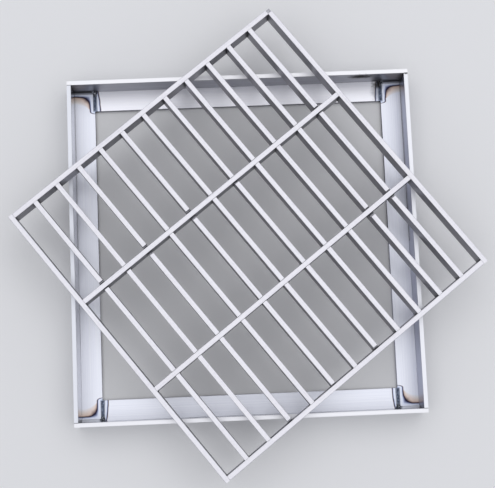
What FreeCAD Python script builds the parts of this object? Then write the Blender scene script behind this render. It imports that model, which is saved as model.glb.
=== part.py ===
# Square drain grate lying turned on the rim of its angle frame: welded steel, millimetres, +Z up.
# The origin is on the ground under the grate's middle, and the frame is square to X and Y.
import FreeCAD, Part
import math
import os

os.makedirs("parts", exist_ok=True)
V = FreeCAD.Vector
UP = V(0, 0, 1)
SIDEWAYS = V(1, 0, 0)

# Grate, made of one size of flat bar on edge
grate_side = 400.0
bar_depth = 25.0
bar_thick = 6.0
bar_edge_radius = 0.5
bearing_count = 11
cross_count = 2
notch_play = 0.2

# Recesses dressed into some bearing bars where they were welded from above
long_recess = 4.0
short_recess = 2.8
slight_recess = 1.5
recess_depth = 4.0
recess_round = 0.5
recess_filled = 0.75
weld_belly = 0.35
corner_nick = 5.0

# For each dressed bearing bar, the recesses before and behind the bar across it, 0 where there is none
dressed_joints = {
    "cross_bar_1": {1: (short_recess, slight_recess), 2: (0, slight_recess), 3: (short_recess, long_recess),
                    5: (short_recess, long_recess), 7: (0, short_recess), 11: (slight_recess, slight_recess)},
    "cross_bar_2": {10: (slight_recess, long_recess), 11: (slight_recess, short_recess)},
    "end_bar_2": {3: (short_recess,), 5: (slight_recess,), 7: (short_recess,)},
}

# Frame, made of sharp cornered unequal angle with its long leg upright on the outside
seat_clearance = 3.0
leg_up = 40.0
leg_in = 30.0
leg_thick = 5.0
root_radius = 0.3
toe_radius = 0.5

# Corner welds of the frame: a flat bead on the flanges' seam and a fillet against the upright
seam_bead_width = 5.0
seam_bead_crown = 0.3
corner_fillet_leg = 3.0
corner_fillet_bulge = 0.3

# How the grate was laid down: the bearing bars' heading from +X, and the frame's middle from the grate's
bearing_heading = -52.5
frame_middle = V(-4.0, -2.9, 0)

inner_length = grate_side - 2 * bar_thick
lap_height = bar_depth / 2
notch_width = bar_thick + 2 * notch_play
frame_inside = grate_side + 2 * seat_clearance
frame_outside = frame_inside + 2 * leg_thick
edge_out = -frame_outside / 2
edge_in = edge_out + leg_thick
toe_line = edge_out + leg_in


def rounded_face(corners, to_space):
    """A flat face with corners (a, b, radius), rounded where the radius isn't 0."""
    arcs = []
    count = len(corners)
    for i in range(count):
        here, back, ahead = (V(*corners[j % count][:2], 0) for j in (i, i - 1, i + 1))
        radius = corners[i][2]
        back = (back - here).normalize()
        ahead = (ahead - here).normalize()
        half_angle = back.getAngle(ahead) / 2
        bisector = (back + ahead).normalize()
        reach = radius / math.tan(half_angle)
        middle = here + bisector * (radius / math.sin(half_angle) - radius)
        arcs.append([to_space(p.x, p.y) for p in (here + back * reach, middle, here + ahead * reach)])
    edges = []
    for i in range(count):
        start, middle, stop = arcs[i]
        if corners[i][2] > 0:
            edges.append(Part.Arc(start, middle, stop).toShape())
        following = arcs[(i + 1) % count][0]
        if stop.distanceToPoint(following) > 1e-6:
            edges.append(Part.LineSegment(stop, following).toShape())
    return Part.Face(Part.Wire(edges))


def box_between(low, high):
    """A box from its two opposite corners."""
    size = high - low
    return Part.makeBox(size.x, size.y, size.z, low)


def station(i, count):
    """Where line i of an evenly spaced set lies; lines 0 and count + 1 are the outside bars."""
    reach = (grate_side - bar_thick) / 2
    return reach * (2 * i / (count + 1) - 1)


def flat_bar(length):
    """Flat bar on edge along X, standing on the ground, with the softened edges of rolled bar."""
    half = bar_thick / 2
    outline = [(-half, 0), (half, 0), (half, bar_depth), (-half, bar_depth)]
    corners = [(y, z, bar_edge_radius) for y, z in outline]
    section = rounded_face(corners, lambda y, z: V(-length / 2, y, z))
    return section.extrude(V(length, 0, 0))


def joint_faces(name):
    """The faces that a bearing bar meets at a bar across it: place along the bar, and way off the face."""
    faces = {"end_bar_2": [(inner_length / 2, -1)]}
    for j in range(1, cross_count + 1):
        middle = station(j, cross_count)
        faces["cross_bar_%d" % j] = [(middle + way * bar_thick / 2, way) for way in (-1, 1)]
    return faces.get(name, [])


def dressed_faces(name, number):
    """Those of a joint's faces that have a recess on one bearing bar: place, way and the recess's length."""
    lengths = dressed_joints[name].get(number, ())
    return [(face, way, length) for (face, way), length in zip(joint_faces(name), lengths) if length > 0]


def recess(face, way, length):
    """What dressing takes off a bearing bar's top beside one face, with a round foot and shoulder."""
    floor = bar_depth - recess_depth
    outer = face + way * length
    clear = outer + way * 2 * recess_round
    above = bar_depth + recess_depth
    corners = [(face, above, 0), (face, floor, 0), (outer, floor, recess_round)]
    corners += [(outer, bar_depth, recess_round), (clear, bar_depth, 0), (clear, above, 0)]
    section = rounded_face(corners, lambda x, z: V(x, -bar_thick, z))
    return section.extrude(V(0, 2 * bar_thick, 0))


def recess_weld(face, way, length):
    """Hollow fillet weld in a recess, from its floor up the face of the bar across."""
    floor = bar_depth - recess_depth
    leg = recess_filled * min(length - recess_round, recess_depth)
    hollow = weld_belly * leg
    corner = V(face, -bar_thick / 2, floor)
    foot = corner + V(way * leg, 0, 0)
    top = corner + V(0, 0, leg)
    belly = corner + V(way * hollow, 0, hollow)
    edges = [Part.LineSegment(corner, foot), Part.Arc(foot, belly, top), Part.LineSegment(top, corner)]
    section = Part.Face(Part.Wire([edge.toShape() for edge in edges]))
    return section.extrude(V(0, bar_thick, 0))


def bearing_bar(number):
    """One bearing bar, notched from above for the cross bars and dressed where it was welded."""
    bar = flat_bar(inner_length)
    for j in range(1, cross_count + 1):
        x = station(j, cross_count)
        low = V(x - notch_width / 2, -bar_thick, lap_height)
        bar = bar.cut(box_between(low, low + V(notch_width, 2 * bar_thick, bar_depth)))
    for name in dressed_joints:
        for face, way, length in dressed_faces(name, number):
            bar = bar.cut(recess(face, way, length))
    bar.translate(V(0, station(number, bearing_count), 0))
    return bar


def cross_bar(number):
    """One cross bar, notched from below for every bearing bar, its top flush with theirs."""
    bar = flat_bar(inner_length)
    for i in range(1, bearing_count + 1):
        x = station(i, bearing_count)
        low = V(x - notch_width / 2, -bar_thick, -lap_height)
        bar = bar.cut(box_between(low, low + V(notch_width, 2 * bar_thick, 2 * lap_height)))
    return set_across(bar, station(number, cross_count))


def set_across(bar, x):
    """Turn a bar that lies along X to run across the bearing bars at x."""
    bar.rotate(V(0, 0, 0), UP, 90)
    bar.translate(V(x, 0, 0))
    return bar


def joint_welds(name):
    """All the small welds that one bar across has with the dressed bearing bars."""
    welds = []
    for i in range(1, bearing_count + 1):
        for face, way, length in dressed_faces(name, i):
            weld = recess_weld(face, way, length)
            weld.translate(V(0, station(i, bearing_count), 0))
            welds.append(weld)
    return Part.makeCompound(welds)


def grate_pieces():
    """Every piece of the grate, standing on the ground with its bearing bars along X."""
    pieces = {}
    pieces["side_bar_1"] = flat_bar(grate_side)
    pieces["side_bar_2"] = flat_bar(grate_side).cut(recess(-grate_side / 2, 1, corner_nick))
    for end, line in (("1", 0), ("2", bearing_count + 1)):
        pieces["side_bar_" + end].translate(V(0, station(line, bearing_count), 0))
    for end, line in (("1", 0), ("2", cross_count + 1)):
        pieces["end_bar_" + end] = set_across(flat_bar(inner_length), station(line, cross_count))
    for i in range(1, bearing_count + 1):
        pieces["bearing_bar_%02d" % i] = bearing_bar(i)
    for j in range(1, cross_count + 1):
        pieces["cross_bar_%d" % j] = cross_bar(j)
    for name in dressed_joints:
        if name in pieces:
            pieces[name + "_welds"] = joint_welds(name)
    return pieces


def angle_bar(length):
    """Angle along X, lying as the frame's front side: upright outside, flange inwards."""
    corners = [(edge_out, 0, 0), (toe_line, 0, 0), (toe_line, leg_thick, toe_radius)]
    corners += [(edge_in, leg_thick, root_radius), (edge_in, leg_up, toe_radius), (edge_out, leg_up, 0)]
    section = rounded_face(corners, lambda y, z: V(-length / 2, y, z))
    return section.extrude(V(length, 0, 0))


def through_angle():
    """Front or back angle: its upright reaches both outer corners, its flange is coped at both ends."""
    bar = angle_bar(frame_outside)
    cope = box_between(V(edge_out, edge_in, 0), V(toe_line, toe_line, leg_up))
    return bar.cut(cope).cut(cope.mirror(V(0, 0, 0), SIDEWAYS))


def side_angle():
    """Left angle: cut square, butted between the front and back uprights."""
    bar = angle_bar(frame_inside)
    bar.rotate(V(0, 0, 0), UP, -90)
    return bar


def corner_weld(through, side):
    """Bead round the front left corner: along the seam of the flanges, then along the upright."""
    half = seam_bead_width / 2
    foot = leg_thick - toe_radius
    left, crown, right = (V(toe_line + x, edge_in, leg_thick + z)
                          for x, z in ((-half, 0), (0, seam_bead_crown), (half, 0)))
    low_right = V(right.x, edge_in, foot)
    low_left = V(left.x, edge_in, foot)
    edges = [Part.Arc(left, crown, right), Part.LineSegment(right, low_right)]
    edges += [Part.LineSegment(low_right, low_left), Part.LineSegment(low_left, left)]
    section = Part.Face(Part.Wire([edge.toShape() for edge in edges]))
    seam = section.extrude(V(0, leg_in - leg_thick - toe_radius, 0))
    bulge = corner_fillet_leg / 2 + corner_fillet_bulge
    corner = V(edge_in, edge_in, leg_thick)
    reach = corner + V(0, corner_fillet_leg, 0)
    top = corner + V(0, 0, corner_fillet_leg)
    belly = corner + V(0, bulge, bulge)
    edges = [Part.LineSegment(corner, reach), Part.Arc(reach, belly, top), Part.LineSegment(top, corner)]
    section = Part.Face(Part.Wire([edge.toShape() for edge in edges]))
    fillet = section.extrude(V(toe_line + half - edge_in, 0, 0))
    return seam.fuse(fillet).cut(through).cut(side).removeSplitter()


def frame_pieces():
    """Every piece of the frame, centred on the origin."""
    through = through_angle()
    side = side_angle()
    weld = corner_weld(through, side)
    pieces = {"frame_front_angle": through, "frame_left_angle": side, "frame_weld_front_left": weld}
    pieces["frame_weld_front_right"] = weld.mirror(V(0, 0, 0), SIDEWAYS)
    opposite = {"front": "back", "left": "right", "right": "left"}
    for name, piece in list(pieces.items()):
        turned = piece.copy()
        turned.rotate(V(0, 0, 0), UP, 180)
        pieces["_".join(opposite.get(word, word) for word in name.split("_"))] = turned
    return pieces


def main():
    for name, piece in grate_pieces().items():
        piece.rotate(V(0, 0, 0), UP, bearing_heading)
        piece.translate(V(0, 0, leg_up))
        piece.exportStep("parts/%s.step" % name)
    for name, piece in frame_pieces().items():
        piece.translate(frame_middle)
        piece.exportStep("parts/%s.step" % name)


main()
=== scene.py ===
# %% [markdown]
# # A square drain grate on its angle frame
# The real object is a fabricator's job in stainless steel: flat bars slotted into each other for the
# grate, and four lengths of sharp-cornered angle welded into a square frame. Here the grate lies
# turned on the frame's rim. The solids come finished from the CAD model, so this lesson is mostly
# about steel: how it is brushed, ground, pickled and blued by welding, and how a shader can show each
# of these. Only the corner beads are modelled again, because their ripples are too fine for CAD.

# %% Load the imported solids
import math

import bmesh
import bpy
from mathutils import Matrix, Vector, noise


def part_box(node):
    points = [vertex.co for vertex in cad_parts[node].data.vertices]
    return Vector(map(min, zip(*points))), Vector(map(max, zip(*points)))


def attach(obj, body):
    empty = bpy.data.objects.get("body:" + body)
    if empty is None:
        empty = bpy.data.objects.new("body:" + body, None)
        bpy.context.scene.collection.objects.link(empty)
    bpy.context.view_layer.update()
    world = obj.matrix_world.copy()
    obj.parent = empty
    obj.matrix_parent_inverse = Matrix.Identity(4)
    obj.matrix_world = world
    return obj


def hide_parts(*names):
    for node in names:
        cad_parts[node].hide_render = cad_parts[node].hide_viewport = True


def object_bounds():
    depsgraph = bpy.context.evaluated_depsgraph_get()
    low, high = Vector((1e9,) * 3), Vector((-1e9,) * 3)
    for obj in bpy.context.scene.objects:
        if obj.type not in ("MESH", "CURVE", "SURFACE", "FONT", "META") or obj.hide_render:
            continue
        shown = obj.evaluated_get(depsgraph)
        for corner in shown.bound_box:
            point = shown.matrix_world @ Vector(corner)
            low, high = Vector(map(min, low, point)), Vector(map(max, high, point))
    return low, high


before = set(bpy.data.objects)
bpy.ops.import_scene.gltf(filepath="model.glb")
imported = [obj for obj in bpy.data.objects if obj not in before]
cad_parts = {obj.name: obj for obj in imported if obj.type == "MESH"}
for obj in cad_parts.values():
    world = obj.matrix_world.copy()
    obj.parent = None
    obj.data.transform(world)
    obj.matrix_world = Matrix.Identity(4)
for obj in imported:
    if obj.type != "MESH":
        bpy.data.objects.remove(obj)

cad_low, cad_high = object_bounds()
MM = 0.001
print("solids:", len(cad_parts), "box in mm:", [round(v / MM, 1) for v in cad_high - cad_low])

# %% [markdown]
# ## Places that the finishes need
# Brushing follows each length of steel, and heat tint follows each weld, so the shaders have to know
# where those are. Numbers typed in would go wrong as soon as the CAD model changes, so most of them are
# read off the solids' boxes: the frame's middle, the seam between two flanges, the inside of the
# uprights and the two top levels. A box doesn't tell how thick a flange is or which way the bars run,
# so these two are written down. From here on, a bare length is in millimetres.

# %% Measure the frame
FLANGE_TOP = 5.0
BAR_HEADING = math.radians(-52.5)
left_low, left_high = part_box("frame_left_angle")
_, right_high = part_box("frame_right_angle")
frame_middle = Vector(((left_low.x + right_high.x) / 2, (left_low.y + left_high.y) / 2, 0))
SEAM_LINE = (frame_middle.x - left_high.x) / MM
UPRIGHT_LINE = (left_high.y - frame_middle.y) / MM
RIM_TOP = left_high.z / MM
BAR_TOP = cad_high.z / MM
print("frame middle:", [round(v / MM, 2) for v in frame_middle], "rim:", round(RIM_TOP, 1))
print("seam at", round(SEAM_LINE, 2), "and upright face at", round(UPRIGHT_LINE, 2), "from the middle")

# %% [markdown]
# ## Helpers
# Colours are picked as hex values, in sRGB. Shaders work in linear light, so one function
# converts them. Another one adds a node, sets its properties and plugs in its sockets, which keeps
# each shader readable as a list of what feeds what. The last one starts a material that is metal all
# over, as every piece of this object is.

# %% Colours
def linear(colour):
    """The linear red, green, blue and alpha of an sRGB hex colour."""
    parts = [int(colour[i:i + 2], 16) / 255 for i in (1, 3, 5)]
    return [p / 12.92 if p <= 0.04045 else ((p + 0.055) / 1.055) ** 2.4 for p in parts] + [1.0]


print("mid grey in linear light:", [round(v, 3) for v in linear("#808080")])

# %% Nodes
def plug(tree, node, sockets):
    """Sets a node's sockets from plain values or from other nodes."""
    for name, value in sockets.items():
        named = [s for s in node.inputs if s.enabled and s.name == name]
        socket = named[0] if named else node.inputs[name]
        if isinstance(value, bpy.types.Node):
            value = [s for s in value.outputs if s.enabled][0]
        if isinstance(value, bpy.types.NodeSocket):
            tree.links.new(value, socket)
        else:
            socket.default_value = value


def add(tree, kind, sockets, stops=(), **settings):
    """One new node: its settings, the stops of a ramp, and its sockets."""
    made = tree.nodes.new("ShaderNode" + kind)
    for name, value in settings.items():
        setattr(made, name, value)
    if stops:
        elements = made.color_ramp.elements
        elements.remove(elements[1])
        elements[0].position, elements[0].color = stops[0][0], linear(stops[0][1])
        for place, colour in stops[1:]:
            elements.new(place).color = linear(colour)
    plug(tree, made, sockets)
    return made


print("helpers for nodes:", plug.__name__, "and", add.__name__)

# %% New steel
ALL_METAL = 1.0


def new_steel(name):
    """A new material that is metal all over: itself, its tree and its shader."""
    material = bpy.data.materials.new(name)
    material.use_nodes = True
    shader = material.node_tree.nodes["Principled BSDF"]
    shader.inputs["Metallic"].default_value = ALL_METAL
    return material, material.node_tree, shader


print("new steel starts with metallic", ALL_METAL)

# %% [markdown]
# ## Where a spot of the frame lies
# All four corners of the frame look much the same, mirrored about its middle. The finish could be
# written out for each corner, but the shaders of angle and beads work in millimetres from that middle
# instead. With the signs dropped, one formula serves all four corners. With the signs kept, a smudge
# can sit in one corner only.

# %% Millimetres from the frame's middle
def frame_places(tree):
    """Each spot in millimetres from the frame's middle, with signs and without."""
    place = add(tree, "TexCoord", {})
    moved = add(tree, "VectorMath", {0: place.outputs["Object"], 1: frame_middle}, operation="SUBTRACT")
    in_mm = add(tree, "VectorMath", {0: moved, "Scale": 1 / MM}, operation="SCALE")
    mirrored = add(tree, "VectorMath", {0: in_mm}, operation="ABSOLUTE")
    return in_mm, mirrored


print("half the frame's opening:", round(SEAM_LINE, 2))

# %% [markdown]
# ## Heat around the welds
# Where the corners were welded, heat drew oxide colours on the steel. Each colour belongs to one
# temperature, so the colours follow the distance from the weld. An image could carry them, but a
# distance worked out in the shader stays sharp however close the camera comes. First comes that
# distance: from the bead along the seam, and on the side flanges also from the fillet along the
# upright's foot. A smooth minimum of the two rounds the line in the corner between them.

# %% Distance from the seam bead
END_COOLING = 2.2


def seam_distance(tree, spot):
    """How far a spot is from the hot seam bead, and if it is on a side flange."""
    past_seam = add(tree, "Math", {0: spot.outputs["X"], 1: SEAM_LINE}, operation="SUBTRACT")
    on_side = add(tree, "Math", {0: past_seam, 1: 0.0}, operation="GREATER_THAN")
    end_offset = add(tree, "Math", {0: SEAM_LINE, 1: spot.outputs["Y"]}, operation="SUBTRACT")
    past_end = add(tree, "Math", {0: end_offset, 1: 0.0}, operation="MAXIMUM")
    cooler = add(tree, "Math", {0: past_end, 1: END_COOLING}, operation="MULTIPLY")
    offset = add(tree, "CombineXYZ", {"X": past_seam, "Y": cooler})
    from_seam = add(tree, "VectorMath", {0: offset}, operation="LENGTH").outputs["Value"]
    return from_seam, on_side


print("past the bead's end the heat fades", END_COOLING, "times faster")

# %% Distance from both welds
FILLET_HEAT = 0.7    # the fillet's heat is counted from this far inside the upright
CORNER_ROUND = 20.0  # how softly the two distances blend
UPRIGHT_PULL = 2.4   # how far the upright draws the line in
PULL_POWER = 2.0     # how late it starts to do so
WOBBLE = 1.2         # how far the line wanders
WOBBLE_PATCH = 7.0   # and over what length
NOISE_MEAN = 0.5     # noise swings about this value
SOFT_DETAIL = 2.0    # layers of finer noise in a soft pattern


def heat_distance(tree, in_mm, spot):
    """How far a spot is from the heat, if it is on a side flange, and how far from the fillet.

    The last value grows where both beads heat the steel.
    """
    from_seam, on_side = seam_distance(tree, spot)

    # On a side flange the fillet heats the steel too
    foot = UPRIGHT_LINE + FILLET_HEAT
    from_fillet = add(tree, "Math", {0: foot, 1: spot.outputs["Y"]}, operation="SUBTRACT")
    nearer = add(tree, "Math", {0: from_seam, 1: from_fillet}, operation="MINIMUM")
    rounded = add(tree, "Math", {0: from_seam, 1: from_fillet, 2: CORNER_ROUND}, operation="SMOOTH_MIN")
    added = add(tree, "Math", {0: nearer, 1: rounded}, operation="SUBTRACT")
    both_heat = add(tree, "Math", {0: added, 1: on_side}, operation="MULTIPLY")

    # On the other flange the upright draws the heat away, so the line closes in towards it
    inwards = add(tree, "MapRange", {"Value": spot.outputs["Y"], "From Min": SEAM_LINE,
                                     "From Max": UPRIGHT_LINE})
    closing = add(tree, "Math", {0: inwards, 1: PULL_POWER}, operation="POWER")
    pulled = add(tree, "Math", {0: closing, 1: UPRIGHT_PULL, 2: from_seam}, operation="MULTIPLY_ADD")

    even = add(tree, "Mix", {"Factor": on_side, "A": pulled, "B": rounded}, data_type="FLOAT")
    patch = add(tree, "TexNoise", {"Vector": in_mm, "Scale": 1 / WOBBLE_PATCH, "Detail": SOFT_DETAIL})
    swing = add(tree, "Math", {0: patch, 1: NOISE_MEAN}, operation="SUBTRACT")
    distance = add(tree, "Math", {0: swing, 1: WOBBLE, 2: even}, operation="MULTIPLY_ADD")
    return distance, on_side, from_fillet, both_heat


print("the line wanders by", WOBBLE, "in patches of", WOBBLE_PATCH)

# %% [markdown]
# ## Oxide colours
# Next to the bead the steel is bare silver. Then comes a thin dark line, blue on the near side and
# brown on the far side, where the oxide is thickest. Beyond it straw fades out. The colours could be
# mixed one after the other, but a single ramp over the distance holds them all, and each of its stops
# can be read as so many millimetres from the weld.

# %% Tint of a flange
TINT_SPAN = 20.0      # the ramp covers this distance
LINE_AT = 6.2         # where the dark line is the darkest
LINE_WIDENING = 0.45  # how much two beads widen it
# Distance from the weld and the colour there
OXIDES = [(2.4, "#B4BED6"), (3.6, "#E6E9F2"), (5.0, "#D8DEF0"), (LINE_AT - 0.5, "#868DAC"),
          (LINE_AT, "#24213A"), (LINE_AT + 0.45, "#3A2D38"), (LINE_AT + 0.9, "#A0897E"),
          (LINE_AT + 1.8, "#DBC3B3"), (LINE_AT + 6.0, "#E0D3C2"), (LINE_AT + 10.0, "#E8E3D9")]
FULL_TINT = LINE_AT + 0.6         # up to here the tint hides the steel
SHORT_STRAW = LINE_AT + 1.2       # where it ends away from the upright
LONG_STRAW = LINE_AT + 16.0       # and where it ends along the upright's foot
FOOT_NEAR, FOOT_FAR = 10.0, 23.0  # from the fillet, where long straw turns into short


def heat_tint(tree, in_mm, spot):
    """How strongly the welds' heat shows at a spot of a flange, and in which oxide colour."""
    distance, on_side, from_fillet, both_heat = heat_distance(tree, in_mm, spot)

    # The dark line is drawn wider where both beads heat the steel
    off_line = add(tree, "Math", {0: distance, 1: LINE_AT}, operation="SUBTRACT")
    widening = add(tree, "Math", {0: both_heat, 1: LINE_WIDENING, 2: 1.0}, operation="MULTIPLY_ADD")
    drawn = add(tree, "Math", {0: off_line, 1: widening}, operation="DIVIDE")
    share = add(tree, "Math", {0: drawn, 1: 1 / TINT_SPAN, 2: LINE_AT / TINT_SPAN}, operation="MULTIPLY_ADD")
    tint = add(tree, "ValToRGB", {"Fac": share}, stops=[(mm / TINT_SPAN, c) for mm, c in OXIDES])

    # Straw spreads far along the foot of the upright only
    near_foot = add(tree, "MapRange", {"Value": from_fillet, "From Min": FOOT_NEAR, "From Max": FOOT_FAR,
                                       "To Min": LONG_STRAW, "To Max": SHORT_STRAW})
    reach = add(tree, "Mix", {"Factor": on_side, "A": SHORT_STRAW, "B": near_foot}, data_type="FLOAT")
    weight = add(tree, "MapRange", {"Value": distance, "From Min": FULL_TINT, "From Max": reach,
                                    "To Min": 1.0, "To Max": 0.0})
    return weight, tint


print("dark line", LINE_AT, "from the weld, straw up to", round(LONG_STRAW, 1))

# %% [markdown]
# ## Soot and painted shade in the corners
# Smoke of the welding settled as dark soot in the inner corners and above the fillets at the back.
# These places also lie in shade, so the dark mask there is partly soot and partly painted shade. It
# could be painted by hand, but a mask worked out from the place stays with the corner when the frame
# changes. Noise added to the distance makes the mask's edge ragged, as soot is.

# %% Mask of the soot and painted shade
SOOT_PATCH = 4.0               # size of its blotches
SOOT_RAGGED = 8.0              # how far its edge wanders
SOOT_REACH = 7.0               # over what distance it fades
CORNER_SOOT = 0.85             # how thick it is in a corner, where 1 hides the steel
FILLET_SOOT = 0.75             # and above a fillet
SOOT_BEFORE_SEAM = (5.0, 1.0)  # it sets in between these distances before the seam
SOOT_HEIGHTS = (6.0, 18.0)     # and fades between these heights, raggedness included
FINE_DETAIL = 3.0              # layers of finer noise in a fine pattern


def at_back(tree, in_mm):
    """1 in the back half of the frame, where the soot and painted shade lie, and 0 in the front half."""
    place = add(tree, "SeparateXYZ", {0: in_mm})
    return add(tree, "Math", {0: place.outputs["Y"], 1: 0.0}, operation="GREATER_THAN")


def corner_soot(tree, in_mm, spot):
    """How dark an upright's inside is with soot and painted shade: in each inner corner, and above the
    fillets at the back.
    """
    patch = add(tree, "TexNoise", {"Vector": in_mm, "Scale": 1 / SOOT_PATCH, "Detail": FINE_DETAIL})
    along_both = add(tree, "Math", {0: spot.outputs["X"], 1: spot.outputs["Y"]}, operation="ADD")
    from_corner = add(tree, "Math", {0: 2 * UPRIGHT_LINE, 1: along_both}, operation="SUBTRACT")
    ragged = add(tree, "Math", {0: patch, 1: SOOT_RAGGED, 2: from_corner}, operation="MULTIPLY_ADD")
    in_corner = add(tree, "MapRange", {"Value": ragged, "From Min": SOOT_RAGGED / 2,
                                       "From Max": SOOT_RAGGED / 2 + SOOT_REACH,
                                       "To Min": CORNER_SOOT, "To Max": 0.0})
    beside = add(tree, "MapRange", {"Value": spot.outputs["X"], "From Min": SEAM_LINE - SOOT_BEFORE_SEAM[0],
                                    "From Max": SEAM_LINE - SOOT_BEFORE_SEAM[1]})
    height = add(tree, "Math", {0: patch, 1: SOOT_RAGGED, 2: spot.outputs["Z"]}, operation="MULTIPLY_ADD")
    above = add(tree, "MapRange", {"Value": height, "From Min": FLANGE_TOP + SOOT_HEIGHTS[0],
                                   "From Max": FLANGE_TOP + SOOT_HEIGHTS[1],
                                   "To Min": FILLET_SOOT, "To Max": 0.0})
    over_fillet = add(tree, "Math", {0: beside, 1: above}, operation="MULTIPLY")
    at_back_only = add(tree, "Math", {0: over_fillet, 1: at_back(tree, in_mm)}, operation="MULTIPLY")
    return add(tree, "Math", {0: in_corner, 1: at_back_only}, operation="MAXIMUM")


print("soot reaches", SOOT_REACH, "from the inner corners")

# %% [markdown]
# ## Smudges at the back right
# One corner got more smoke than the others. Its smudges are soft ragged blots, each with its own
# middle, half sizes and strength. Measured in its own half sizes, a blot is a ball, so the length of
# one vector tells how far out a spot lies, and the darkest blot wins.

# %% Mask of the smudges
SMOKE = "#262320"
SMUDGE_PATCH = 3.3                   # size of the blotches in it
SMUDGE_RAGGED = 0.9                  # how far its edge wanders, in half sizes
SMUDGE_FULL, SMUDGE_GONE = 0.7, 1.4  # where it starts to fade and where it ends, in half sizes
# Middle, half sizes and strength
SMUDGES = [
    ((175.0, 199.0, 7.0), (9.0, 9.0, 10.0), 0.9),     # over the start of the bead
    ((152.0, 203.0, 31.0), (20.0, 5.0, 10.0), 0.92),  # streak under the rim
    ((172.0, 190.0, 5.0), (7.0, 13.0, 5.0), 0.3),     # haze on the flange beside the bead
    ((206.0, 202.6, 40.0), (4.0, 1.6, 2.0), 0.8),     # on the corner of the rim
]


def smoke_smudges(tree, in_mm):
    """How dark the smudges of smoke are at a spot, from 0 on clean steel."""
    patch = add(tree, "TexNoise", {"Vector": in_mm, "Scale": 1 / SMUDGE_PATCH, "Detail": FINE_DETAIL})
    darkest = 0.0
    for middle, half, strength in SMUDGES:
        offset = add(tree, "VectorMath", {0: in_mm, 1: middle}, operation="SUBTRACT")
        scaled = add(tree, "VectorMath", {0: offset, 1: half}, operation="DIVIDE")
        away = add(tree, "VectorMath", {0: scaled}, operation="LENGTH").outputs["Value"]
        ragged = add(tree, "Math", {0: patch, 1: SMUDGE_RAGGED, 2: away}, operation="MULTIPLY_ADD")
        dark = add(tree, "MapRange", {"Value": ragged, "From Min": SMUDGE_FULL, "From Max": SMUDGE_GONE,
                                      "To Min": strength, "To Max": 0.0})
        darkest = add(tree, "Math", {0: darkest, 1: dark}, operation="MAXIMUM")
    return darkest


print("smudges:", len(SMUDGES))

# %% [markdown]
# ## Tones of the angle
# Angle this sharp at the corners is made of two strips, joined along the root and brushed along their
# length. Brushing could be cut into the mesh, but it is far too fine for that. It is drawn by noise
# that is stretched along the angle, and a ramp turns it into three close tones. The insides of the
# uprights have tones of their own, under the soot and painted shade, and the outsides share a plain
# one. The rim was ground bright, and the ends of the side angles show on it as hairlines.

# %% Brushed lines
BRUSH_WIDTH = 1.3
BRUSH_LENGTH = 160.0
LINE_CONTRAST = 0.6  # how strongly the finer layers of the noise show


def brushed_lines(tree, in_mm, along):
    """Fine lines along axis number along, from dark to light."""
    # Real brushing is about 0.1 mm wide; it is drawn this coarse to show at all from standing height
    stretch = [1 / BRUSH_WIDTH] * 3
    stretch[along] = 1 / BRUSH_LENGTH
    lines = add(tree, "VectorMath", {0: in_mm, 1: stretch}, operation="MULTIPLY")
    return add(tree, "TexNoise", {"Vector": lines, "Scale": 1.0, "Detail": FINE_DETAIL,
                                  "Roughness": LINE_CONTRAST})


print("brushing drawn", BRUSH_WIDTH, "wide and", BRUSH_LENGTH, "long")

# %% Uprights
BRUSH_STOPS = (0.3, 0.5, 0.7)  # values of the noise that get the three tones
OUTER_TONES = ("#B2B3B9", "#BEBFC5", "#CBCCD1")
OUTSIDE_FROM = UPRIGHT_LINE + 0.5
# Colour of the soot and painted shade in the uprights' inner corners
SOOT = "#2B282B"


def upright_colour(tree, in_mm, spot, brushed, tones):
    """Brushed tones with soot and painted shade on an upright's inside, plain tones on its outside."""
    inner = add(tree, "ValToRGB", {"Fac": brushed}, stops=list(zip(BRUSH_STOPS, tones)))
    outer = add(tree, "ValToRGB", {"Fac": brushed}, stops=list(zip(BRUSH_STOPS, OUTER_TONES)))
    soot = corner_soot(tree, in_mm, spot)
    # Soot and painted shade darken the inside towards the corners
    sooty = add(tree, "Mix", {"Factor": soot, "A": inner, "B": linear(SOOT)}, data_type="RGBA")
    farthest = add(tree, "Math", {0: spot.outputs["X"], 1: spot.outputs["Y"]}, operation="MAXIMUM")
    outside = add(tree, "Math", {0: farthest, 1: OUTSIDE_FROM}, operation="GREATER_THAN")
    return add(tree, "Mix", {"Factor": outside, "A": sooty, "B": outer}, data_type="RGBA")


print("outsides start", round(OUTSIDE_FROM, 2), "from the middle")

# %% Rim
HAIRLINE = "#5A5A5E"
HAIRLINE_DARK = 0.6         # how dark it is, where 1 hides the steel
HAIRLINE_EDGE = (0.2, 0.7)  # it fades between these distances from the joint


def rim_colour(tree, spot, tone):
    """The ground rim, with a hairline where a side angle butts against the next upright."""
    butt_offset = add(tree, "Math", {0: spot.outputs["Y"], 1: UPRIGHT_LINE}, operation="SUBTRACT")
    off_butt = add(tree, "Math", {0: butt_offset}, operation="ABSOLUTE")
    line = add(tree, "MapRange", {"Value": off_butt, "From Min": HAIRLINE_EDGE[0],
                                  "From Max": HAIRLINE_EDGE[1], "To Min": HAIRLINE_DARK, "To Max": 0.0})
    at_corner = add(tree, "Math", {0: spot.outputs["X"], 1: UPRIGHT_LINE}, operation="GREATER_THAN")
    butt = add(tree, "Math", {0: line, 1: at_corner}, operation="MULTIPLY")
    return add(tree, "Mix", {"Factor": butt, "A": linear(tone), "B": linear(HAIRLINE)}, data_type="RGBA")


print("hairlines on the rim", round(UPRIGHT_LINE, 2), "from the middle")

# %% [markdown]
# ## Brushed stainless angle
# The faces of an angle could have a material each, but the solids come with one slot. So one shader
# tells them apart by which way they look and how high they lie: level and low is the flange, level
# and high is the rim, and the rest is upright. The heat tint goes over the flange and the smoke over
# everything. Bare steel is all metal, but soot is a matt coat, so it takes the metal and the sheen
# away too. Left as a metal, even black soot would gleam at a glancing angle.

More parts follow.
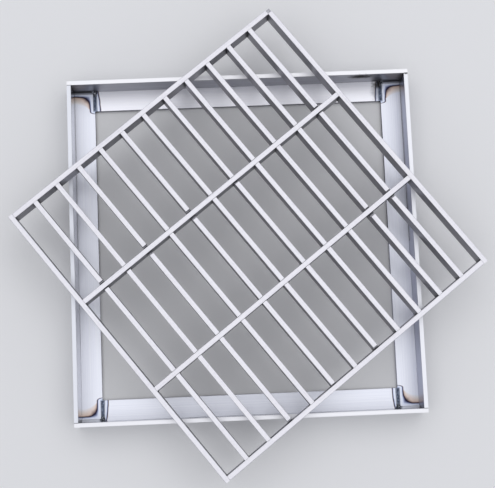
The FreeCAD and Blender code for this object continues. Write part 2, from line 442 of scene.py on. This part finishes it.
# %% Where a face is level, and where it is ground
LEVEL_FROM, LEVEL_TO = 0.5, 0.8    # how far up a face looks, where 1 is straight up
GROUND_FROM, GROUND_TO = 1.2, 0.4  # below the top of the piece


def face_kind(tree, spot, top):
    """How level a face is, and how close it is to the ground top of its piece, both from 0 to 1."""
    facing = add(tree, "SeparateXYZ", {0: add(tree, "TexCoord", {}).outputs["Normal"]})
    level = add(tree, "MapRange", {"Value": facing.outputs["Z"], "From Min": LEVEL_FROM,
                                   "From Max": LEVEL_TO})
    ground = add(tree, "MapRange", {"Value": spot.outputs["Z"], "From Min": top - GROUND_FROM,
                                    "From Max": top - GROUND_TO})
    return level, ground


print("ground steel starts", GROUND_FROM, "below the top")

# %% Heat tint on the flange only
FLANGE_BELOW = FLANGE_TOP + 1.0  # faces lower than this belong to the flange


def tinted_flange(tree, in_mm, spot, level, bare):
    """The bare steel's colour, with the heat tint over it where the face is the flange's top."""
    heat, tint = heat_tint(tree, in_mm, spot)
    low = add(tree, "Math", {0: spot.outputs["Z"], 1: FLANGE_BELOW}, operation="LESS_THAN")
    on_flange = add(tree, "Math", {0: level, 1: low}, operation="MULTIPLY")
    shown = add(tree, "Math", {0: on_flange, 1: heat}, operation="MULTIPLY")
    return add(tree, "Mix", {"Factor": shown, "A": bare, "B": tint}, data_type="RGBA")


print("heat tint below", FLANGE_BELOW)

# %% Material of the angle
SATIN_ROUGH = (0.42, 0.47)  # in the dark brushed lines and in the light ones
SOOT_ROUGH = 0.9
BRUSH_BUMP = 0.08
BRUSH_DEPTH = 0.05


def angle_steel(name, along, flange, upright, upright_rough, rim):
    """Brushed stainless angle: the eye gets a soft cool sheen with faint lines along the length."""
    material, tree, shader = new_steel(name)
    in_mm, mirrored = frame_places(tree)
    spot = add(tree, "SeparateXYZ", {0: mirrored})
    level, ground = face_kind(tree, spot, RIM_TOP)
    brushed = brushed_lines(tree, in_mm, along)
    flange_tone = add(tree, "ValToRGB", {"Fac": brushed}, stops=list(zip(BRUSH_STOPS, flange)))
    upright_tone = upright_colour(tree, in_mm, spot, brushed, upright)
    rim_tone = rim_colour(tree, spot, rim)
    level_tone = add(tree, "Mix", {"Factor": ground, "A": flange_tone, "B": rim_tone}, data_type="RGBA")
    bare = add(tree, "Mix", {"Factor": level, "A": upright_tone, "B": level_tone}, data_type="RGBA")
    tinted = tinted_flange(tree, in_mm, spot, level, bare)
    smoked = smoke_smudges(tree, in_mm)
    colour = add(tree, "Mix", {"Factor": smoked, "A": tinted, "B": linear(SMOKE)}, data_type="RGBA")

    satin = add(tree, "MapRange", {"Value": brushed, "From Min": BRUSH_STOPS[0], "From Max": BRUSH_STOPS[-1],
                                   "To Min": SATIN_ROUGH[0], "To Max": SATIN_ROUGH[1]})
    clean = add(tree, "Mix", {"Factor": level, "A": upright_rough, "B": satin}, data_type="FLOAT")
    rough = add(tree, "Mix", {"Factor": smoked, "A": clean, "B": SOOT_ROUGH}, data_type="FLOAT")
    metal = add(tree, "Math", {0: 1.0, 1: smoked}, operation="SUBTRACT")
    bump = add(tree, "Bump", {"Height": brushed, "Strength": BRUSH_BUMP, "Distance": BRUSH_DEPTH * MM})
    plug(tree, shader, {"Base Color": colour, "Metallic": metal, "Roughness": rough, "Normal": bump})
    return material


print("flange roughness:", SATIN_ROUGH)

# %% [markdown]
# ## Four angles
# Each of the four angles has its own tones: the left and front ones are bright inside, the right one is
# bluish, and the back one is darker inside with the palest flange. One function makes all four, and a
# small table says how they differ. Axis 0 runs along the front and back, axis 1 along the sides.

# %% Finish the four angles
SATIN = ("#E2E4EE", "#E8EAF3", "#EEF0F7")
PALE = ("#F2F2F9", "#F6F6FC", "#FAFAFE")
BRIGHT = ("#BFBFC4", "#C9C9CE", "#D4D4D8")
BLUISH = ("#9C9FB1", "#A8ABBD", "#B6B9C9")
DULL = ("#85868E", "#94959D", "#A8A9B0")
angle_looks = {
    "left": dict(along=1, flange=SATIN, upright=BRIGHT, upright_rough=0.24, rim="#DDDFE6"),
    "right": dict(along=1, flange=SATIN, upright=BLUISH, upright_rough=0.38, rim="#E6E7EC"),
    "front": dict(along=0, flange=SATIN, upright=BRIGHT, upright_rough=0.2, rim="#E8E8EC"),
    "back": dict(along=0, flange=PALE, upright=DULL, upright_rough=0.42, rim="#ECECEF"),
}
for side_name, looks in angle_looks.items():
    steel = angle_steel("brushed_stainless_angle_" + side_name, **looks)
    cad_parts["frame_%s_angle" % side_name].material_slots[0].material = steel
print("angles finished:", len(angle_looks))

# %% [markdown]
# ## Painted shade in the corners of the grate's joints
# Where the bars meet, the corners of the joints lie in shade, and that shade is painted in, almost
# black, on the sides of the bars. The joints could be told by hand, one by one. They are evenly spaced,
# though, so a zigzag along the bar gives the distance from the next one.

# %% Mask of the painted shade in the joints' corners
BAR_THICK = 6.0
OUTER_LINE = 197.0                # from the grate's middle to the middle of an outer bar
# Colour of the painted shade in the corners of the joints
JOINT_SOOT = "#242327"
JOINT_DARK = 0.75                 # how dark it is, where 1 hides the steel
JOINT_RAGGED = 3.0                # how far its edge wanders
JOINT_NEAR, JOINT_FAR = 1.5, 5.0  # it fades between these distances from the next bar, raggedness included


def joint_corners(tree, in_mm, spot, mottle, pitch):
    """How strong the painted shade is on the inside of the grate next to a bar's joints, which are one pitch
    apart.
    """
    along = add(tree, "Math", {0: spot.outputs["X"], 1: OUTER_LINE}, operation="SUBTRACT")
    to_joint = add(tree, "Math", {0: along, 1: pitch / 2}, operation="PINGPONG")
    ragged = add(tree, "Math", {0: mottle, 1: JOINT_RAGGED, 2: to_joint}, operation="MULTIPLY_ADD")
    mirrored = add(tree, "VectorMath", {0: in_mm}, operation="ABSOLUTE")
    off = add(tree, "SeparateXYZ", {0: mirrored})
    farthest = add(tree, "Math", {0: off.outputs["X"], 1: off.outputs["Y"]}, operation="MAXIMUM")
    inside = add(tree, "Math", {0: farthest, 1: OUTER_LINE}, operation="LESS_THAN")
    darkest = add(tree, "Math", {0: inside, 1: JOINT_DARK}, operation="MULTIPLY")
    return add(tree, "MapRange", {"Value": ragged, "From Min": BAR_THICK / 2 + JOINT_NEAR,
                                  "From Max": BAR_THICK / 2 + JOINT_FAR, "To Min": darkest, "To Max": 0.0})


print("outer bars", OUTER_LINE, "from the grate's middle")

# %% [markdown]
# ## Pickled stainless flat bar
# The bars are hot rolled and pickled, which leaves a dull dark grey on their sides. Their top edges
# were ground level after welding, so they are almost white. Where a weld was dressed away from above,
# a lower grey floor is left. Side, top and floor could have a material each, but the faces would have
# to be picked first. As on the angle, one shader tells them apart by height and by which way they look.

# %% Grinding lines and mottle
GRIND_WIDTH = 1.2
GRIND_LENGTH = 110.0
MOTTLE_PATCH = 3.0
MOTTLE_SHARE = 0.4  # the rest is lines


def bar_wear(tree, in_mm):
    """Noise in lines along the bar, mixed with mottle, and the mottle by itself."""
    # Real grinding lines are about 0.1 mm wide; they are drawn this coarse to show at all
    stretch = [1 / GRIND_LENGTH, 1 / GRIND_WIDTH, 1 / GRIND_WIDTH]
    lines = add(tree, "VectorMath", {0: in_mm, 1: stretch}, operation="MULTIPLY")
    lined = add(tree, "TexNoise", {"Vector": lines, "Scale": 1.0, "Detail": FINE_DETAIL,
                                   "Roughness": LINE_CONTRAST})
    mottle = add(tree, "TexNoise", {"Vector": in_mm, "Scale": 1 / MOTTLE_PATCH, "Detail": FINE_DETAIL})
    worn = add(tree, "Mix", {"Factor": MOTTLE_SHARE, "A": lined, "B": mottle}, data_type="FLOAT")
    return worn, mottle


print("grinding drawn", GRIND_WIDTH, "wide and", GRIND_LENGTH, "long")

# %% Material of the bars
WORN_DARK, WORN_LIGHT = 0.3, 0.7  # values of the noise that get the darkest and the lightest tone
GROUND_TONES = [(WORN_DARK, "#CBCAD1"), (0.5, "#DDDCE2"), (WORN_LIGHT, "#E9E8EC")]
RECESS_TONES = [(WORN_DARK, "#7E7E84"), (WORN_LIGHT, "#B9B9BF")]
PICKLED_TONES = [(WORN_DARK, "#77767D"), (WORN_LIGHT, "#9C9BA2")]
BAR_ROUGH = (0.32, 0.5)  # where it is dark and where it is light
GRIND_BUMP = 0.15
GRIND_DEPTH = 0.05


def bar_steel(name, heading, pitch):
    """Pickled stainless flat bar: the eye gets dull dark sides under an almost white ground top."""
    material, tree, shader = new_steel(name)
    place = add(tree, "TexCoord", {})
    turned = add(tree, "VectorRotate", {"Vector": place.outputs["Object"], "Angle": -heading},
                 rotation_type="Z_AXIS")
    in_mm = add(tree, "VectorMath", {0: turned, "Scale": 1 / MM}, operation="SCALE")
    spot = add(tree, "SeparateXYZ", {0: in_mm})
    level, ground = face_kind(tree, spot, BAR_TOP)
    worn, mottle = bar_wear(tree, in_mm)
    top = add(tree, "ValToRGB", {"Fac": worn}, stops=GROUND_TONES)
    recess = add(tree, "ValToRGB", {"Fac": mottle}, stops=RECESS_TONES)
    pickled = add(tree, "ValToRGB", {"Fac": worn}, stops=PICKLED_TONES)
    # Painted shade in the corners of the joints darkens the bars' sides
    corner = joint_corners(tree, in_mm, spot, mottle, pitch)
    side_tone = add(tree, "Mix", {"Factor": corner, "A": pickled, "B": linear(JOINT_SOOT)}, data_type="RGBA")
    level_tone = add(tree, "Mix", {"Factor": ground, "A": recess, "B": top}, data_type="RGBA")
    colour = add(tree, "Mix", {"Factor": level, "A": side_tone, "B": level_tone}, data_type="RGBA")
    rough = add(tree, "MapRange", {"Value": worn, "From Min": WORN_DARK, "From Max": WORN_LIGHT,
                                   "To Min": BAR_ROUGH[0], "To Max": BAR_ROUGH[1]})
    bump = add(tree, "Bump", {"Height": worn, "Strength": GRIND_BUMP, "Distance": GRIND_DEPTH * MM})
    plug(tree, shader, {"Base Color": colour, "Roughness": rough, "Normal": bump})
    return material


print("bar roughness:", BAR_ROUGH)

# %% [markdown]
# ## Bars both ways
# The grinding lines follow each bar, so the bars that run the long way and those across them get a
# material each. The joints of a long bar are a third of the grate apart, those of a cross bar a
# twelfth. A material for each bar would only repeat these two.

# %% Finish the bars
LONG_SPACES, CROSS_SPACES = 3, 12
long_pitch = 2 * OUTER_LINE / LONG_SPACES
cross_pitch = 2 * OUTER_LINE / CROSS_SPACES
lengthways = bar_steel("pickled_stainless_bar_lengthways", BAR_HEADING, long_pitch)
crossways = bar_steel("pickled_stainless_bar_crossways", BAR_HEADING + math.pi / 2, cross_pitch)
bar_count = 0
for node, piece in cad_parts.items():
    if "_bar_" in node and not node.endswith("welds"):
        piece.material_slots[0].material = lengthways if node.startswith(("bearing", "side")) else crossways
        bar_count += 1
print("bars finished:", bar_count)

# %% [markdown]
# ## Small welds in the dressed joints
# A few joints of the grate were welded from above and then ground back with a hand grinder. What is
# left of the weld is dull, pitted and greyer than the bars. The pits could be modelled, but they are a
# millimetre across on a spot of ten. Noise about as coarse as the pits gives their colour, their
# roughness and a bump, so that all three agree.

# %% Material of the dressed welds
PIT_SIZE = 1.1
PIT_BUMP = 0.5
PIT_DEPTH = 0.2
PIT_TONES = [(0.35, "#55555B"), (0.5, "#88888E"), (0.65, "#A4A4AA")]
PIT_ROUGH = (0.6, 0.45)  # in the pits and between them


def dressed_weld(name):
    """Stainless weld metal under a hand grinder: the eye gets a dull grey with dark pits."""
    material, tree, shader = new_steel(name)
    place = add(tree, "TexCoord", {}).outputs["Object"]
    pits = add(tree, "TexNoise", {"Vector": place, "Scale": 1 / (PIT_SIZE * MM), "Detail": FINE_DETAIL})
    colour = add(tree, "ValToRGB", {"Fac": pits}, stops=PIT_TONES)
    rough = add(tree, "MapRange", {"Value": pits, "To Min": PIT_ROUGH[0], "To Max": PIT_ROUGH[1]})
    bump = add(tree, "Bump", {"Height": pits, "Strength": PIT_BUMP, "Distance": PIT_DEPTH * MM})
    plug(tree, shader, {"Base Color": colour, "Roughness": rough, "Normal": bump})
    return material


dressed = dressed_weld("ground_stainless_weld")
dressed_nodes = [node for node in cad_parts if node.endswith("_welds")]
for node in dressed_nodes:
    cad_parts[node].material_slots[0].material = dressed
print("dressed welds:", dressed_nodes)

# %% [markdown]
# ## Corner beads of the frame
# At each corner a weld runs along the seam of the two flanges and then along the foot of the upright.
# A bead is a row of frozen puddles, each lapping the one before, so it has ripples about a millimetre
# apart. The solids only carry the bead's plain body, so here it is built again as rings of points
# with the ripples in them. A bump map would do from afar, but real ripples also catch the light at
# the bead's edge.

# %% Ripples
RIPPLE_HEIGHT = 0.16
RIPPLE_PITCH = 1.25
RIPPLE_TRAIL = 0.22  # how far a ripple trails 1 mm off the bead's middle


def ripple(along, across):
    """Height of the scalloped ripples, which trail behind at the bead's edges."""
    return RIPPLE_HEIGHT * abs(math.sin(math.pi * (along + RIPPLE_TRAIL * across ** 2) / RIPPLE_PITCH))


print("ripples", RIPPLE_PITCH, "apart")

# %% Rings of the seam bead
RING_STEP = 0.18
ACROSS_STEPS = 14  # faces across the bead
BEAD_HALF = 2.5    # half its width
BEAD_CROWN = 0.35  # its height above the flange
BEAD_ROOT = 0.5    # how deep it is let into the flange, and how short of the edge it stops


def seam_rings():
    """Rings of the flat bead, from the upright to the flanges' inner edge, where it runs out."""
    length = UPRIGHT_LINE - SEAM_LINE - BEAD_ROOT
    count = round(length / RING_STEP)
    for i in range(count + 1):
        along = length * i / count
        y = UPRIGHT_LINE - along
        fade = math.sqrt(min(1.0, (length - along) / BEAD_ROOT))
        ring = []
        for j in range(ACROSS_STEPS + 1):
            # From -1 at one edge to 1 at the other; crown and ripples die out at both
            share = 2 * j / ACROSS_STEPS - 1
            height = BEAD_CROWN * (1 - share ** 2) + ripple(along, BEAD_HALF * share) * (1 - share ** 4)
            ring.append((SEAM_LINE + BEAD_HALF * share, y, FLANGE_TOP + height * fade))
        for edge in (BEAD_HALF, -BEAD_HALF):
            ring.append((SEAM_LINE + edge, y, FLANGE_TOP - BEAD_ROOT))
        yield ring


print("seam rings:", len(list(seam_rings())))

# %% Rings of the fillet bead
FILLET_START = 1.0  # from the seam
FILLET_LEG = 3.0    # along the flange and up the upright
FILLET_BULGE = 0.3  # beyond the straight line between the two


def fillet_rings():
    """Rings of the fillet bead along the foot of the upright, from the seam into the corner."""
    length = UPRIGHT_LINE - SEAM_LINE - FILLET_START
    count = round(length / RING_STEP)
    for i in range(count + 1):
        along = length * i / count
        x = SEAM_LINE + FILLET_START + along
        ring = []
        for j in range(ACROSS_STEPS + 1):
            # From 0 on the flange to 1 on the upright; the swell is full in the middle
            share = j / ACROSS_STEPS
            swell = 4 * share * (1 - share) * (FILLET_BULGE + ripple(along, FILLET_LEG * (share - 0.5)))
            out = swell * math.sqrt(0.5)
            y = UPRIGHT_LINE - FILLET_LEG * (1 - share) - out
            ring.append((x, y, FLANGE_TOP + FILLET_LEG * share + out))
        ring.append((x, UPRIGHT_LINE, FLANGE_TOP))
        yield ring


print("fillet rings:", len(list(fillet_rings())))

# %% [markdown]
# ## Colour of the beads
# Hot stainless that cools in air goes grey-blue. The seam bead is the darkest along its middle, and its
# edges get a silver painted highlight. The fillet is matt: at the front its pale colour is a painted
# sheen in place of the silver it mirrors, and at the back it is grey with oxide and turns black high up,
# partly soot and partly painted shade. Where the arc was started, soot and bright spatter lie side by
# side. The beads are one piece each, so one material mixes these by place, as on the angle.

# %% Colour of the seam bead
SMEAR_PATCH = 2.0
CORE_TONES = [(0.3, "#2E333F"), (0.5, "#4D5566"), (0.7, "#7C869A")]
# The silver at the bead's edges is a painted highlight, where the sides of the ridge catch the light
EDGE_TONE = "#C3CADB"
EDGE_FROM, EDGE_TO = 0.9, BEAD_HALF + 0.3  # from the bead's middle, where silver sets in and is full
EDGE_SHARE = 0.8                           # how much of the edge is silver, where 1 is all


def seam_colour(tree, in_mm, spot):
    """Grey-blue along the middle of the seam bead, with a silver painted highlight at its edges."""
    smear = add(tree, "TexNoise", {"Vector": in_mm, "Scale": 1 / SMEAR_PATCH, "Detail": FINE_DETAIL})
    core = add(tree, "ValToRGB", {"Fac": smear}, stops=CORE_TONES)
    seam_offset = add(tree, "Math", {0: spot.outputs["X"], 1: SEAM_LINE}, operation="SUBTRACT")
    off_seam = add(tree, "Math", {0: seam_offset}, operation="ABSOLUTE")
    # Silver painted highlight towards the bead's edges
    edge = add(tree, "MapRange", {"Value": off_seam, "From Min": EDGE_FROM, "From Max": EDGE_TO,
                                  "To Min": 0.0, "To Max": EDGE_SHARE})
    return add(tree, "Mix", {"Factor": edge, "A": core, "B": linear(EDGE_TONE)}, data_type="RGBA")


print("silver sets in", EDGE_FROM, "off the seam")

# %% Colour of the fillet bead
# At the front the fillet's pale colour is a painted sheen; at the back grey oxide turns black high up,
# partly soot and partly painted shade
FILLET_PALE = "#F0F3FC"
FILLET_GREY = "#9A9DA8"
FILLET_BLACK = "#333338"
FILLET_BLACKENS = (1.4, 2.4)  # above the flange, where grey turns into black


def fillet_colour(tree, in_mm, spot):
    """A pale painted sheen at the front; at the back grey oxide, turning black high up on the upright with
    soot and painted shade.
    """
    black = add(tree, "MapRange", {"Value": spot.outputs["Z"], "From Min": FLANGE_TOP + FILLET_BLACKENS[0],
                                   "From Max": FLANGE_TOP + FILLET_BLACKENS[1]})
    smoked = add(tree, "Mix", {"Factor": black, "A": linear(FILLET_GREY), "B": linear(FILLET_BLACK)},
                 data_type="RGBA")
    back = at_back(tree, in_mm)
    return add(tree, "Mix", {"Factor": back, "A": linear(FILLET_PALE), "B": smoked}, data_type="RGBA")


print("back fillets blacken between", FILLET_BLACKENS, "above the flange")

# %% Soot and spatter at the start
START_IN = 1.6                    # from the upright
START_NEAR, START_FAR = 3.0, 5.5  # the spatter thins out between these distances from the start
SPATTER_SIZE = 1.1
SPATTER_TONES = [(0.42, "#1E2026"), (0.52, "#4A4D55"), (0.6, "#BFC3CC")]


def start_colour(tree, in_mm, mirrored):
    """How near the start of the arc is, and its mix of soot and bright spatter."""
    start = (SEAM_LINE, UPRIGHT_LINE - START_IN, FLANGE_TOP)
    away = add(tree, "VectorMath", {0: mirrored, 1: start}, operation="DISTANCE").outputs["Value"]
    near = add(tree, "MapRange", {"Value": away, "From Min": START_NEAR, "From Max": START_FAR,
                                  "To Min": 1.0, "To Max": 0.0})
    grain = add(tree, "TexNoise", {"Vector": in_mm, "Scale": 1 / SPATTER_SIZE, "Detail": SOFT_DETAIL})
    return near, add(tree, "ValToRGB", {"Fac": grain}, stops=SPATTER_TONES)


print("arc started", START_IN, "from the upright")

# %% Material of the beads
BEAD_ROUGH, FILLET_ROUGH = 0.4, 0.75
FILLET_FROM, FILLET_TO = BEAD_HALF - 0.5, BEAD_HALF + 1.5  # past the seam, where the fillet takes over


def blued_bead(name):
    """Stainless weld bead as it froze: the eye gets a grey-blue gleam with painted highlights at the seam's
    edges, and a matt fillet with a painted sheen at the front and painted shade at the back.
    """
    material, tree, shader = new_steel(name)
    in_mm, mirrored = frame_places(tree)
    spot = add(tree, "SeparateXYZ", {0: mirrored})
    on_fillet = add(tree, "MapRange", {"Value": spot.outputs["X"], "From Min": SEAM_LINE + FILLET_FROM,
                                       "From Max": SEAM_LINE + FILLET_TO})
    seam = seam_colour(tree, in_mm, spot)
    fillet = fillet_colour(tree, in_mm, spot)
    bead = add(tree, "Mix", {"Factor": on_fillet, "A": seam, "B": fillet}, data_type="RGBA")
    near, spatter = start_colour(tree, in_mm, mirrored)
    started = add(tree, "Mix", {"Factor": near, "A": bead, "B": spatter}, data_type="RGBA")
    smoked = smoke_smudges(tree, in_mm)
    colour = add(tree, "Mix", {"Factor": smoked, "A": started, "B": linear(SMOKE)}, data_type="RGBA")
    rough = add(tree, "MapRange", {"Value": on_fillet, "To Min": BEAD_ROUGH, "To Max": FILLET_ROUGH})

    # The fillet is no metal: oxide at the back, and at the front so that its pale colour shows as a painted
    # sheen
    metal = add(tree, "Math", {0: 1.0, 1: on_fillet}, operation="SUBTRACT")
    plug(tree, shader, {"Base Color": colour, "Metallic": metal, "Roughness": rough})
    return material


blued = blued_bead("blued_stainless_weld")
print("bead finish:", blued.name)

# %% [markdown]
# ## Building the beads
# The rings are joined into closed tubes, one for the seam and one for the fillet. In the corner
# between them sits the rough little lump that is left where an arc is started: a ball, flattened and
# made uneven by noise. A mirror modifier could copy one corner to the others, but each bead takes the
# place of one solid, so each is built as a piece of its own, by the same functions.

# %% Tubes and lump
LUMP_IN, LUMP_UP = 1.4, 0.3             # its middle, from the upright and above the flange
LUMP_HALF = (3.0, 2.6, 1.5)
LUMP_NOISE = ((0.3, 2.6), (0.12, 7.0))  # height and rate of its bumps, for a ball of radius 1
LUMP_SPLITS = 4


def to_corner(point, side, end):
    """A point given in millimetres from the frame's middle, mirrored into one of the corners."""
    return frame_middle + Vector((side * point[0], end * point[1], point[2])) * MM


def closed_tube(shape, rings, side, end):
    """Joins rings of points into a tube with both ends closed."""
    rows = [[shape.verts.new(to_corner(p, side, end)) for p in ring] for ring in rings]
    for one, two in zip(rows, rows[1:]):
        for j in range(len(one)):
            k = (j + 1) % len(one)
            shape.faces.new((one[j], one[k], two[k], two[j]))
    shape.faces.new(rows[0])
    shape.faces.new(rows[-1])


def start_lump(shape, side, end):
    """The rough lump where the arc was started."""
    middle = (SEAM_LINE, UPRIGHT_LINE - LUMP_IN, FLANGE_TOP + LUMP_UP)
    made = bmesh.ops.create_icosphere(shape, subdivisions=LUMP_SPLITS, radius=1.0)
    for vert in made["verts"]:
        uneven = 1 + sum(height * noise.noise(vert.co * rate) for height, rate in LUMP_NOISE)
        place = [m + half * uneven * c for m, half, c in zip(middle, LUMP_HALF, vert.co)]
        vert.co = to_corner(place, side, end)


print("lump half sizes:", LUMP_HALF)

# %% Build the four corner beads
for end_name, end in (("front", -1), ("back", 1)):
    for side_name, side in (("left", -1), ("right", 1)):
        corner = end_name + "_" + side_name
        shape = bmesh.new()
        closed_tube(shape, seam_rings(), side, end)
        closed_tube(shape, fillet_rings(), side, end)
        start_lump(shape, side, end)
        bmesh.ops.recalc_face_normals(shape, faces=shape.faces)
        for face in shape.faces:
            face.smooth = True
        mesh = bpy.data.meshes.new("bead_" + corner)
        shape.to_mesh(mesh)
        shape.free()
        piece = bpy.data.objects.new("bead_" + corner, mesh)
        bpy.context.scene.collection.objects.link(piece)
        mesh.materials.append(blued)
        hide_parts("frame_weld_" + corner)
        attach(piece, "root")
        print(piece.name, "faces:", len(mesh.polygons))

# %% [markdown]
# ## Floor
# The part is shown on a plain pale floor, matt as paper, which takes soft shadows and gives the steel
# something pale to mirror. A curved backdrop would do too, but a floor this wide never shows its far
# edge. It lies a hair below the part, so that the two don't share a plane.

# %% Pale floor
FLOOR_SIZE = 40.0  # metres
FLOOR_GAP = 0.3
FLOOR_TONE = "#EDEDEE"
FLOOR_ROUGH = 0.9
half_floor = FLOOR_SIZE / 2
floor_corners = [(x * half_floor, y * half_floor, 0) for x, y in ((-1, -1), (1, -1), (1, 1), (-1, 1))]
floor_mesh = bpy.data.meshes.new("floor")
floor_mesh.from_pydata(floor_corners, [], [(0, 1, 2, 3)])
floor = bpy.data.objects.new("floor", floor_mesh)
floor.location.z = -FLOOR_GAP * MM
bpy.context.scene.collection.objects.link(floor)
matt = bpy.data.materials.new("matt_pale_floor")
matt.use_nodes = True
matt_shader = matt.node_tree.nodes["Principled BSDF"]
plug(matt.node_tree, matt_shader, {"Base Color": linear(FLOOR_TONE), "Roughness": FLOOR_ROUGH})
floor_mesh.materials.append(matt)
print("floor", FLOOR_SIZE, "m square")

# %% [markdown]
# ## Light
# Bare steel shows what it mirrors, so small lamps would leave it black with a few hot spots. One wide
# softbox overhead and an even fill from the world do for it what a bright overcast sky would do:
# level faces turn almost white, while upright faces mirror the floor and stay darker. The standard
# view transform leaves the colours as they were picked.

# %% Softbox and fill
SOFTBOX_SIZE = 4.0               # metres
SOFTBOX_PLACE = (0.3, 0.6, 2.6)  # metres
SOFTBOX_POWER = 34.5             # watts
FILL_TONE = "#F2F4FA"
FILL_STRENGTH = 0.63
lamp = bpy.data.lights.new("softbox", "AREA")
lamp.size = SOFTBOX_SIZE
lamp.energy = SOFTBOX_POWER
softbox = bpy.data.objects.new("softbox", lamp)
softbox.location = SOFTBOX_PLACE
bpy.context.scene.collection.objects.link(softbox)
world = bpy.data.worlds.new("fill")
bpy.context.scene.world = world
world.use_nodes = True
sky = world.node_tree.nodes["Background"]
plug(world.node_tree, sky, {"Color": linear(FILL_TONE), "Strength": FILL_STRENGTH})
bpy.context.scene.view_settings.view_transform = "Standard"
print("softbox", SOFTBOX_SIZE, "m wide,", SOFTBOX_POWER, "W")

# %% [markdown]
# ## Camera
# The view is almost straight down on the frame, from a little in front of it and at standing height.
# Set by eye, a camera comes out a few pixels off. So its place, turns and focal length were fitted to
# the bars' lines and the frame's edges, and each of them falls where it does in the picture.

# %% Camera at the photograph's viewing angle
IMAGE_WIDTH = 495       # pixels
FOCAL_PIXELS = 1095.96  # focal length, in pixels too
SENSOR_WIDTH = 36.0
CAMERA_PLACE = Vector((-27.79, -168.10, 1339.75)) * MM
TILT, ROLL, PAN = 0.12715, -0.01569, -0.04023  # radians
view = bpy.data.cameras.new("view")
view.sensor_width = SENSOR_WIDTH
view.lens = FOCAL_PIXELS * SENSOR_WIDTH / IMAGE_WIDTH
camera = bpy.data.objects.new("view", view)
turn = Matrix.Rotation(PAN, 3, "Z") @ Matrix.Rotation(TILT, 3, "X") @ Matrix.Rotation(ROLL, 3, "Y")
camera.matrix_world = Matrix.Translation(CAMERA_PLACE) @ turn.to_4x4()
bpy.context.scene.collection.objects.link(camera)
bpy.context.scene.camera = camera
print("lens mm:", round(view.lens, 2), "height m:", round(camera.location.z, 3))
